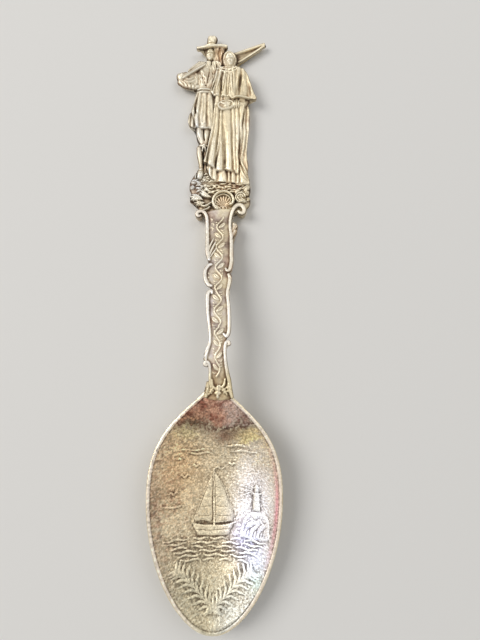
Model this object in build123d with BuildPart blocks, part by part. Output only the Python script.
"""Souvenir spoon with a figural finial: bowl, scroll-bordered stem, rocky base, two figures, long gun.

Millimetres.  +Y runs from the bowl's tip to the crown of the hat, +X is to the right seen from above,
+Z is up.  The spoon lies on its bowl and on the flat back of its finial, and the origin is the middle
of its box at the level that it lies on.
"""

from build123d import *
from math import cos, hypot, pi, radians, sin
import os

# ---------------------------------------------------------------- driving dimensions

# Bowl
bowl_length = 52.8  # tip to the pointed end that the stem covers
bowl_width = 29.4
tip_to_widest = 28.0
bowl_depth = 7.0  # rim to underside at the widest place
bowl_wall = 0.9
rim_slope = 2.6  # degrees that the rim rises towards the stem

# Stem
stem_length = 41.5  # pointed end of the bowl to the finial base
stem_lap = 3.4  # how far the stem runs down over the bowl
stem_waist = 3.9  # over the panel, just above the neck
neck_rise = 3.26  # rim of the bowl to the crest of the arch, over the borders
stem_thickness = 2.4
border_rise = 0.55  # borders over the sunk panel
border_width = 0.85
drop_length = 9.5  # tongue on the back of the bowl
drop_width = 5.2
drop_thickness = 0.6

# Finial base
base_width = 14.5
base_height = 7.6  # seam with the stem to where the gentleman stands
base_thickness = 2.3
shell_radius = 3.0
shell_rise = 0.9  # over the base
rock_radius = 1.6
rock_depth = 1.3  # table to the middle of each boulder
boulders = 6
shell_flutes = 5
leaf_rise = 0.7
rosette_radius = 1.4
rosette_petals = 5
petal_radius = 0.5
petal_rise = 0.6

# Gentleman, feet upwards
shoe_length = 2.0
shin_length = 6.1
breeches_length = 4.6
skirt_length = 8.9
torso_length = 8.8
head_length = 3.5
hat_height = 4.2
brim_width = 7.7
brim_thickness = 0.6
crown_width = 2.7
head_radius = 1.12
hair_radius = 1.25
shoulder_width = 6.2
sleeve_radius = 1.15
cuff_radius = 1.45
hand_radius = 0.8
belt_width = 0.9
waist_width = 3.6
shoe_radius = 1.0
ankle_radius = 0.7
calf_radius = 1.05
garter_radius = 1.25
garter_width = 0.6
breeches_radius = 1.45

# Lady, hem upwards
lady_step = 1.2  # she stands this much lower on the rocks
underskirt_length = 3.4
gown_length = 17.0
cape_length = 8.9
coif_length = 5.3
coif_width = 3.75
gown_width = 10.3
cape_width = 11.0
muff_radius = 1.15
ruff_puffs = 6
ruff_width = 4.6
face_radius = 1.1
face_groove = 0.15  # between the face and the coif

# Both figures
figure_depth = 3.5  # table to the foremost fold
edge_depth = 1.2  # table to the outer edge of a garment
fold_depth = 0.3
gown_folds = 7
cape_folds = 6
skirt_folds = 6

# Long gun, over the gentleman's shoulder and behind both heads
gun_length = 9.5
gun_butt = 4.0
gun_tip = 1.0
gun_depth = 1.3
gun_rise = 20.0  # degrees

# ---------------------------------------------------------------- places that follow

feet_to_hat = (
    shoe_length + shin_length + breeches_length + skirt_length + torso_length + head_length + hat_height
)
overall_length = bowl_length + stem_length + base_height + feet_to_hat
tip_y = -overall_length / 2
point_y = tip_y + bowl_length  # pointed end of the bowl
base_y = point_y + stem_length  # seam between stem and finial base
feet_y = base_y + base_height

# ---------------------------------------------------------------- bowl

half_width = bowl_width / 2
crosswise_radius = (half_width**2 + bowl_depth**2) / (2 * bowl_depth)
axis_height = crosswise_radius - bowl_depth  # centre of the crosswise arcs, over the rim
shoulder_length = bowl_length - tip_to_widest
tip_steepness = 0.5


def radius_at(share):
    """Crosswise radius where the bowl has this share of its half width."""
    return hypot(share * half_width, axis_height)


# Keel line from the tip to the pointed end: distance from the widest place, depth under the rim.
keel = Spline(
    (-tip_to_widest, 0),
    (-0.66 * tip_to_widest, axis_height - radius_at(0.715)),
    (0, -bowl_depth),
    (0.42 * shoulder_length, axis_height - radius_at(0.885)),
    (0.63 * shoulder_length, axis_height - radius_at(0.67)),
    (shoulder_length, 0),
    tangents=[(1, -tip_steepness), (1, 0)],
    tangent_scalars=[1, 1],
)
slope = radians(rim_slope)
keel_places = keel.positions([i / 200 for i in range(201)])
rim_height = max(-(place.X * sin(slope) + place.Y * cos(slope)) for place in keel_places)
widest_y = tip_y + tip_to_widest * cos(slope)
rim_plane = Plane(origin=(0, widest_y, rim_height), x_dir=(1, 0, 0), z_dir=(0, -sin(slope), cos(slope)))
keel_plane = Plane(origin=rim_plane.origin, x_dir=rim_plane.y_dir, z_dir=(1, 0, 0))
hull_axis = Axis(rim_plane.origin + rim_plane.z_dir * axis_height, rim_plane.y_dir)


def add_hull(outward, mode=Mode.ADD):
    """Revolves the keel line, moved outward from the axis, into a ring whose lower side is the bowl."""
    with BuildSketch(keel_plane) as profile:
        with BuildLine():
            add(Pos(0, -outward) * keel)
            Line((-tip_to_widest, -outward), (shoulder_length, -outward))
        make_face()
    revolve(profile.sketch, axis=hull_axis, mode=mode)


with BuildPart() as hull:
    add_hull(0)
    split(bisect_by=rim_plane, keep=Keep.BOTTOM)

with BuildPart() as bowl:
    add(hull.part)
    add_hull(-bowl_wall, Mode.SUBTRACT)

# ---------------------------------------------------------------- stem

neck_height = rim_height + neck_rise
section_height = neck_height + border_rise  # taller than anything on the stem


def along(x, share):
    """A place on the stem in plan: share 0 is the bowl's pointed end, share 1 the finial base."""
    return (x, point_y + share * stem_length)


def scroll(places, first_knob=border_width / 2, last_knob=border_width / 2):
    """Band through these places on the stem, with a round knob at each end."""
    with BuildSketch() as band:
        with BuildLine():
            Spline(*[along(x, share) for x, share in places])
        trace(line_width=border_width)
        for place, knob in ((places[0], first_knob), (places[-1], last_knob)):
            with Locations(along(*place)):
                Circle(knob)
    return band.sketch


left_scrolls = [
    scroll([(-4.9, 0.955), (-4.1, 0.972), (-3.3, 0.93), (-2.9, 0.83), (-2.7, 0.725), (-2.2, 0.67)], 0.95),
    scroll([(-1.8, 0.655), (-3.0, 0.61), (-2.9, 0.56), (-1.7, 0.52)]),
    scroll(
        [(-1.4, 0.495), (-2.3, 0.463), (-2.0, 0.36), (-1.5, 0.275), (-1.5, 0.21), (-2.3, 0.155), (-2.4, 0.12)]
    ),
    scroll([(-1.9, 0.095), (-1.3, 0.055), (-1.35, 0.0), (-2.3, -0.06)], 0.65),
]
right_scrolls = [
    scroll([(4.7, 0.98), (3.8, 1.0), (2.7, 0.965), (2.4, 0.9), (2.8, 0.69), (2.5, 0.63), (1.7, 0.615)], 1.1),
    scroll([(2.5, 0.593), (2.1, 0.51), (2.6, 0.40), (2.65, 0.31), (2.0, 0.248)], border_width / 2, 0.6),
    scroll([(2.4, 0.195), (1.8, 0.17), (1.9, 0.12), (2.2, 0.05), (2.1, 0.0), (2.7, -0.06)], 0.65),
]


def arch_slab(sunk):
    """Side view of the stem as a slab: flat on the table under the finial base, crest at the neck."""
    lap_y = point_y - 1.3 * stem_lap
    rim_here = rim_height + (lap_y - widest_y) * sin(slope)
    crest = along(0, 0.08)[1]
    middle = along(0, 0.52)[1]
    middle_height = base_thickness + 0.69 * (neck_height - base_thickness)
    with BuildSketch(Plane.YZ) as side:
        with BuildLine():
            top = Spline(
                (lap_y, rim_here + border_rise + 0.3 - sunk),
                (crest, neck_height - sunk),
                (middle, middle_height - sunk),
                (base_y + 2, base_thickness + border_rise - sunk),
            )
            under = Spline(
                (lap_y, rim_here - 1.3),
                (crest, neck_height - stem_thickness),
                (middle, middle_height - stem_thickness),
                (base_y, 0),
                tangents=[(1, 0.3), (1, 0)],
            )
            Line(under @ 1, (base_y + 2, 0))
            Line((base_y + 2, 0), top @ 1)
            Line(top @ 0, under @ 0)
        make_face()
    return side.sketch


with BuildPart() as panel:
    with BuildSketch() as outline:
        with BuildLine():
            side = Spline(
                along(stem_waist * 0.74, -stem_lap / stem_length),
                along(stem_waist * 0.48, 0.02),
                along(stem_waist * 0.5, 0.2),
                along(stem_waist * 0.61, 0.36),
                along(stem_waist * 0.54, 0.5),
                along(stem_waist * 0.72, 0.61),
                along(stem_waist * 0.7, 0.8),
                along(stem_waist * 0.8, 1.0),
            )
            Line(side @ 1, along(0, 1))
            mirror(about=Plane.YZ)
            ThreePointArc(side @ 0, (0, point_y - 1.25 * stem_lap), (-(side @ 0).X, (side @ 0).Y))
        make_face()
    extrude(amount=section_height)
    extrude(arch_slab(border_rise), amount=base_width, both=True, mode=Mode.INTERSECT)

with BuildPart() as borders:
    for band in left_scrolls + right_scrolls:
        extrude(band, amount=section_height, dir=(0, 0, 1))
    extrude(arch_slab(0), amount=base_width, both=True, mode=Mode.INTERSECT)

with BuildPart() as drop:
    add_hull(drop_thickness)
    add_hull(0, Mode.SUBTRACT)
    split(bisect_by=rim_plane, keep=Keep.BOTTOM)
    with BuildSketch() as tongue:
        with Locations((0, point_y - stem_lap)):
            Ellipse(drop_width / 2, drop_length - stem_lap)
    extrude(amount=section_height, mode=Mode.INTERSECT)

with BuildPart() as stem:
    add(panel.part)
    add(borders.part)
    add(hull.part, mode=Mode.SUBTRACT)
    add(drop.part)

# ---------------------------------------------------------------- garments and limbs


def plan_slab(outline):
    """Everything over a plan outline, taller than both figures."""
    with BuildPart() as slab:
        with BuildSketch():
            with BuildLine():
                Polyline(*outline, close=True)
            make_face()
        extrude(amount=2 * figure_depth)
    return slab.part


def pleated(outline, stations, folds):
    """Flat-backed garment inside a plan outline.

    A station is (y, left, right, height in the middle) of a cross-section, and the lofted front
    carries this many rounded folds, which fan out where the garment widens.
    """
    with BuildPart() as garment:
        for y, left, right, middle in stations:
            across = [left + (right - left) * i / folds for i in range(folds + 1)]
            swell = [sin(pi * i / folds) ** 0.7 for i in range(folds + 1)]
            height = [edge_depth + (middle - edge_depth) * share for share in swell]
            valleys = list(zip(across, height))
            with BuildSketch(Plane(origin=(0, y, 0), x_dir=(1, 0, 0), z_dir=(0, -1, 0))):
                with BuildLine():
                    for first, last in zip(valleys, valleys[1:]):
                        crest = ((first[0] + last[0]) / 2, (first[1] + last[1]) / 2 + fold_depth)
                        ThreePointArc(first, crest, last)
                    Polyline(valleys[-1], (right, 0), (left, 0), valleys[0])
                make_face()
        loft()
        add(plan_slab(outline), mode=Mode.INTERSECT)
    return garment.part


def limb(start, end, start_radius, end_radius, round_ends=(True, True)):
    """Tapered round limb between two points, with a round end where one is asked for."""
    course = Vector(*end) - Vector(*start)
    with BuildPart() as piece:
        with BuildSketch(Plane(origin=start, z_dir=course)):
            Circle(start_radius)
        with BuildSketch(Plane(origin=end, z_dir=course)):
            Circle(end_radius)
        loft()
        for place, radius, is_round in zip((start, end), (start_radius, end_radius), round_ends):
            if is_round:
                with Locations(place):
                    Sphere(radius)
    return piece.part


def spheroid(centre, radius, half_length):
    """Egg shape standing along the figure."""
    with BuildPart() as piece:
        with BuildSketch(Plane(origin=centre)):
            Ellipse(radius, half_length)
            split(bisect_by=Plane.YZ)
        revolve(axis=Axis(centre, (0, 1, 0)))
    return piece.part


# ---------------------------------------------------------------- lady

lady_x = 1.5
lady_y = feet_y - lady_step
hem_y = lady_y + underskirt_length
waist_y = hem_y + gown_length
neck_y = waist_y + cape_length
gown_left = lady_x - gown_width * 0.54
gown_right = lady_x + gown_width * 0.48
cape_left = lady_x - cape_width * 0.38
cape_right = lady_x + cape_width * 0.62

gown_outline = [
    (gown_left + 2.6, waist_y + 0.4),
    (gown_left + 1.7, hem_y + gown_length * 0.58),
    (gown_left, hem_y + 1.7),
    (gown_left + 0.9, hem_y + 0.8),
    (gown_left + 3.0, hem_y - 0.3),
    (gown_left + 8.0, hem_y - 1.0),
    (gown_right, hem_y - 0.8),
    (gown_right + 0.15, hem_y + gown_length * 0.58),
    (gown_right - 0.25, waist_y + 0.4),
]
underskirt_outline = [
    (gown_left + 1.8, hem_y + 1.4),
    (gown_left + 1.9, lady_y),
    (gown_right - 1.9, lady_y),
    (gown_right + 0.5, lady_y - 0.3),
    (gown_right, hem_y + 1.4),
]
cape_outline = [
    (lady_x - 1.8, neck_y),
    (cape_left + 0.7, waist_y + cape_length * 0.52),
    (cape_left, waist_y + cape_length * 0.25),
    (cape_left + 1.2, waist_y + 1.1),
    (lady_x + 1.0, waist_y + 0.6),
    (cape_right - 1.4, waist_y + 0.6),
    (cape_right, waist_y + 1.2),
    (cape_right - 1.7, waist_y + cape_length * 0.58),
    (cape_right - 3.2, neck_y - 0.5),
    (lady_x + 2.4, neck_y),
]
ruff_x = lady_x + 0.2
ruff_outline = [
    (ruff_x - ruff_width * 0.4, neck_y + 0.5),
    (ruff_x - ruff_width / 2, neck_y - 0.1),
    (ruff_x, neck_y - 0.6),
    (ruff_x + ruff_width / 2, neck_y - 0.1),
    (ruff_x + ruff_width * 0.4, neck_y + 0.5),
]
face_length = coif_length * 0.68
coif_y = neck_y + coif_length * 0.47
coif_half = coif_length * 0.53

with BuildPart() as lady:
    add(
        pleated(
            gown_outline,
            [
                (hem_y - 1, gown_left, gown_right, figure_depth - 0.4),
                (hem_y + gown_length * 0.5, gown_left + 1.6, gown_right + 0.3, figure_depth - 0.4),
                (waist_y + 1, gown_left + 2.7, gown_right, figure_depth - 0.5),
            ],
            gown_folds,
        )
    )
    add(
        pleated(
            underskirt_outline,
            [
                (lady_y - 0.5, gown_left + 1.5, gown_right + 0.5, figure_depth - 0.9),
                (hem_y + 1.6, gown_left + 1.5, gown_right + 0.5, figure_depth - 0.9),
            ],
            5,
        )
    )
    add(
        pleated(
            cape_outline,
            [
                (waist_y + 0.5, cape_left, cape_right, figure_depth),
                (waist_y + cape_length * 0.6, cape_left + 1.0, cape_right - 1.7, figure_depth),
                (neck_y + 0.1, lady_x - 1.8, lady_x + 2.4, figure_depth - 0.8),
            ],
            cape_folds,
        )
    )
    # Hands in a muff, and the forearm under the cape
    muff = (lady_x + 1.2, waist_y - 0.5, figure_depth - 1.0)
    add(limb((lady_x - 1.5, waist_y - 0.6, figure_depth - 1.1), muff, muff_radius, muff_radius))
    add(limb(muff, (lady_x + 4.0, waist_y + 0.3, 1.9), muff_radius * 0.8, muff_radius * 0.95, (False, True)))
    # Ruff in small puffs, coif, and the face in the coif's opening
    add(
        pleated(
            ruff_outline,
            [
                (neck_y - 0.6, ruff_x - ruff_width / 2, ruff_x + ruff_width / 2, figure_depth - 0.3),
                (neck_y + 0.6, ruff_x - ruff_width * 0.42, ruff_x + ruff_width * 0.42, figure_depth - 0.6),
            ],
            ruff_puffs,
        )
    )
    add(spheroid((ruff_x, coif_y, 1.3), coif_width / 2, coif_half))
    face = (ruff_x - 0.2, neck_y + coif_length * 0.45, figure_depth - 1.4)
    opening = (face[0], face[1], face[2] + 3 * face_groove)
    add(spheroid(opening, face_radius + face_groove, face_length / 2 + face_groove), mode=Mode.SUBTRACT)
    add(spheroid(face, face_radius, face_length / 2))
    split(bisect_by=Plane.XY)

# ---------------------------------------------------------------- gentleman

man_x = -4.4
knee_y = feet_y + shoe_length + shin_length
skirt_y = knee_y + breeches_length
belt_y = skirt_y + skirt_length
shoulder_y = belt_y + torso_length
brim_y = shoulder_y + head_length
hat_y = brim_y + hat_height
head_x = man_x + 1.15
head_depth = 1.3
leg_depth = 1.4
elbow = (man_x - 6.0, belt_y + torso_length * 0.5, 1.1)

skirt_outline = [
    (man_x - 1.8, belt_y),
    (man_x - 3.7, skirt_y + skirt_length * 0.45),
    (man_x - 3.6, skirt_y + 2.0),
    (man_x - 3.2, skirt_y + 0.5),
    (man_x - 1.6, skirt_y),
    (man_x + 2.5, skirt_y),
    (man_x + 2.5, belt_y),
]

# Doublet from the belt to the shoulders: (height, middle, half width, depth) of each section
with BuildPart() as doublet:
    for y, middle, half, deep in (
        (belt_y - 0.5, man_x, waist_width / 2 + 0.1, 2.5),
        (belt_y + 0.8, man_x, waist_width / 2, 2.4),
        (belt_y + torso_length * 0.55, man_x + 0.5, 0.42 * shoulder_width, 3.0),
        (shoulder_y, man_x + 1.0, 0.38 * shoulder_width, 1.8),
    ):
        with BuildSketch(Plane(origin=(middle, y, 0), x_dir=(1, 0, 0), z_dir=(0, -1, 0))):
            Ellipse(half, deep)
    loft()

# Falling collar with two points
with BuildPart() as collar:
    with BuildSketch():
        with BuildLine():
            Polyline(
                (head_x - 1.4, shoulder_y + 0.7),
                (head_x - 2.1, shoulder_y - 1.3),
                (head_x - 0.2, shoulder_y - 0.5),
                (head_x + 1.5, shoulder_y - 2.2),
                (head_x + 2.2, shoulder_y + 0.6),
                close=True,
            )
        make_face()
    extrude(amount=figure_depth - 0.4)
    fillet(collar.edges().filter_by(Plane.XY).group_by(Axis.Z)[-1], 0.3)

# Tall hat: crown turned about its own axis, and a brim seen nearly edge on
with BuildPart() as hat:
    crown_radius = crown_width / 2
    crown_place = (head_x + 0.45, brim_y, head_depth)
    with BuildSketch(Plane(origin=crown_place)):
        with BuildLine():
            Polyline(
                (0, 0),
                (crown_radius * 0.98, 0),
                (crown_radius * 0.9, hat_height * 0.2),
                (crown_radius, hat_height - 0.4),
                (crown_radius * 0.75, hat_height),
                (0, hat_height),
                close=True,
            )
        make_face()
    revolve(axis=Axis(crown_place, (0, 1, 0)))
    brim_tilt = radians(4)
    brim_plane = Plane(
        origin=(head_x + 0.65, brim_y, head_depth),
        x_dir=(cos(brim_tilt), sin(brim_tilt), 0),
        z_dir=(-sin(brim_tilt), cos(brim_tilt), 0),
    )
    with BuildSketch(brim_plane):
        Ellipse(brim_width / 2, brim_width * 0.22)
    extrude(amount=brim_thickness)

with BuildPart() as belt:
    with BuildSketch(Plane(origin=(man_x, belt_y + belt_width, 0), x_dir=(1, 0, 0), z_dir=(0, -1, 0))):
        Ellipse(waist_width / 2 + 0.25, figure_depth - 0.75)
    extrude(amount=belt_width)

with BuildPart() as gentleman:
    # Shoe, stocking, garter, breeches gathered at the knee
    ankle = (man_x - 0.7, feet_y + shoe_length, leg_depth)
    knee = (man_x, knee_y, leg_depth)
    hip = (man_x + 0.2, skirt_y + 0.6, leg_depth)
    add(limb((man_x - 0.9, feet_y + 0.8, leg_depth), ankle, shoe_radius, ankle_radius, (True, False)))
    add(limb(ankle, knee, ankle_radius, calf_radius, (False, False)))
    add(limb(knee, (man_x, knee_y + garter_width, leg_depth), garter_radius, garter_radius, (False, False)))
    add(limb(knee, hip, calf_radius, breeches_radius, (False, False)))
    # Doublet and its pleated skirt
    add(
        pleated(
            skirt_outline,
            [
                (skirt_y - 0.5, man_x - 3.9, man_x + 3.4, figure_depth - 0.6),
                (skirt_y + skirt_length * 0.5, man_x - 3.6, man_x + 3.0, figure_depth - 0.6),
                (belt_y + 0.2, man_x - 2.0, man_x + 2.0, figure_depth - 0.8),
            ],
            skirt_folds,
        )
    )
    add(doublet.part)
    add(belt.part)
    add(collar.part)
    # Bent arm: sleeve from shoulder to elbow, puffed cuff, and the hand on the belt
    shoulder = (man_x - 1.5, shoulder_y - 1.3, 1.4)
    cuff = (man_x - 3.2, belt_y + 2.4, 1.4)
    hand = (man_x - 1.2, belt_y + 1.9, 1.9)
    add(limb(shoulder, elbow, sleeve_radius, sleeve_radius))
    add(limb(elbow, cuff, sleeve_radius, cuff_radius, (False, True)))
    add(limb(cuff, hand, hand_radius, hand_radius, (False, True)))
    # Head with long hair, under the hat
    hair_top = (head_x + 1.4, brim_y + brim_thickness / 2, head_depth - 0.3)
    hair_end = (head_x + 1.7, brim_y - head_length * 0.72, head_depth - 0.3)
    add(spheroid((head_x, brim_y - head_length * 0.42, head_depth + 0.3), head_radius, head_length * 0.56))
    add(limb(hair_top, hair_end, hair_radius, hair_radius * 0.85, (False, True)))
    add(hat.part)
    # The lady stands in front
    for outline in (cape_outline, gown_outline, underskirt_outline):
        add(plan_slab(outline), mode=Mode.SUBTRACT)
    with BuildSketch(Plane(origin=(ruff_x, coif_y, 0))):
        Ellipse(coif_width / 2, coif_half)
    extrude(amount=2 * figure_depth, mode=Mode.SUBTRACT)
    add(lady.part, mode=Mode.SUBTRACT)
    split(bisect_by=Plane.XY)

# ---------------------------------------------------------------- finial base

base_x = -0.3
shell_centre = (0.6, base_y + 0.9)


def on_base(x, y):
    """A place on the base: x in half widths from its middle, y in millimetres above the seam."""
    return (base_x + x * base_width / 2, base_y + y)


def leaf(place, length, width, turn):
    """Pointed leaf with a ridge, lying on the base, its tip pointing this many degrees round from +X."""
    pointing = (cos(radians(turn)), sin(radians(turn)), 0)
    with BuildPart() as piece:
        with BuildSketch(Plane(origin=(*place, 0), x_dir=pointing)) as blade:
            with BuildLine():
                upper = ThreePointArc((-length / 2, 0), (0, width / 2), (length / 2, 0))
                ThreePointArc(upper @ 1, (0, -width / 2), upper @ 0)
            make_face()
        extrude(amount=base_thickness + leaf_rise)
        chamfer(piece.edges().group_by(Axis.Z)[-1], leaf_rise, 0.36 * width)
    return piece.part


# Each leaf: middle, length, width, degrees
leaves = [
    (on_base(-0.55, 3.7), 4.2, 1.4, 145),
    (on_base(-0.68, 2.3), 4.6, 1.9, 165),
    (on_base(-0.58, 0.7), 3.6, 1.6, 205),
]

with BuildPart() as rocks:
    with BuildSketch():
        with BuildLine():
            Spline(
                on_base(-0.65, -0.6),
                on_base(-0.97, 2.6),
                on_base(-1.0, 5.5),
                on_base(-0.85, 8.2),
                on_base(0.0, 8.6),
                on_base(0.85, 8.0),
                on_base(1.0, 5.5),
                on_base(1.0, 2.0),
                on_base(0.6, -0.6),
                periodic=True,
            )
        make_face()
    extrude(amount=base_thickness)
    # Boulders in an arc over the shell, larger towards both ends
    for boulder in range(boulders):
        across = -1 + 2 * boulder / (boulders - 1)
        size = rock_radius * (0.75 + 0.35 * across**2)
        with Locations((*on_base(0.78 * across, 5.4 + 0.6 * cos(5 * boulder)), rock_depth)):
            Sphere(size)

# Scallop shell framed by an arched scroll that is open towards the stem
with BuildPart() as shell:
    with BuildSketch() as arch:
        with BuildLine():
            CenterArc(shell_centre, shell_radius, -15, 210)
        trace(line_width=border_width)
        for side, knob in ((-1, 0.85), (1, 0.75)):
            with Locations((shell_centre[0] + side * shell_radius * 0.9, shell_centre[1] - 1.05)):
                Circle(border_width * knob)
    extrude(arch.sketch, amount=base_thickness + shell_rise, dir=(0, 0, 1))
    for flute in range(shell_flutes):
        turn = radians(20 + 140 * flute / (shell_flutes - 1))
        hinge = (shell_centre[0] + 0.4 * cos(turn), shell_centre[1] + 0.4 * sin(turn) - 0.3, base_thickness)
        lip = (shell_centre[0] + 2.4 * cos(turn), shell_centre[1] + 2.4 * sin(turn), base_thickness)
        add(limb(hinge, lip, 0.2, 0.52, (False, False)))
    split(bisect_by=Plane.XY)

with BuildPart() as rosette:
    with Locations((*on_base(0.8, 1.6), base_thickness)):
        Cylinder(rosette_radius, base_thickness, align=(Align.CENTER, Align.CENTER, Align.MAX))
        Cone(petal_radius, petal_radius / 2, petal_rise, align=(Align.CENTER, Align.CENTER, Align.MIN))
        with PolarLocations(rosette_radius - petal_radius, rosette_petals):
            Cone(petal_radius, petal_radius / 2, petal_rise, align=(Align.CENTER, Align.CENTER, Align.MIN))

with BuildPart() as finial_base:
    add(rocks.part)
    add(shell.part)
    add(rosette.part)
    for place, length, width, turn in leaves:
        add(leaf(place, length, width, turn))
    for piece in (stem, lady, gentleman):
        add(piece.part, mode=Mode.SUBTRACT)
    split(bisect_by=Plane.XY)

# ---------------------------------------------------------------- long gun

gun_start = (lady_x + 0.6, neck_y + 3.2)

with BuildPart() as long_gun:
    gun_plane = Plane(origin=(*gun_start, 0), x_dir=(cos(radians(gun_rise)), sin(radians(gun_rise)), 0))
    with BuildSketch(gun_plane):
        with BuildLine():
            Polyline(
                (0, gun_butt / 2),
                (gun_length, gun_tip / 2),
                (gun_length, -gun_tip / 2),
                (0, -gun_butt / 2),
                close=True,
            )
        make_face()
    extrude(amount=gun_depth)
    fillet(long_gun.edges().filter_by(Axis.Z).group_by(Axis.X)[-1], gun_tip * 0.45)
    with BuildSketch(gun_plane.offset(gun_depth)):
        with BuildLine():
            Polyline(
                (0, gun_butt / 2 - 0.6),
                (gun_length - 1.6, 0.1),
                (gun_length - 1.6, -0.1),
                (0, 0.6 - gun_butt / 2),
                close=True,
            )
        make_face()
    extrude(amount=-0.5, mode=Mode.SUBTRACT)
    for piece in (lady, gentleman):
        add(piece.part, mode=Mode.SUBTRACT)

# ---------------------------------------------------------------- parts

os.makedirs("parts", exist_ok=True)
for name, piece in (
    ("bowl", bowl),
    ("stem", stem),
    ("finial_base", finial_base),
    ("gentleman", gentleman),
    ("lady", lady),
    ("long_gun", long_gun),
):
    piece.part.label = name
    export_step(piece.part, f"parts/{name}.step")
    print(name, len(piece.part.solids()), round(piece.part.volume, 1), piece.part.is_valid)
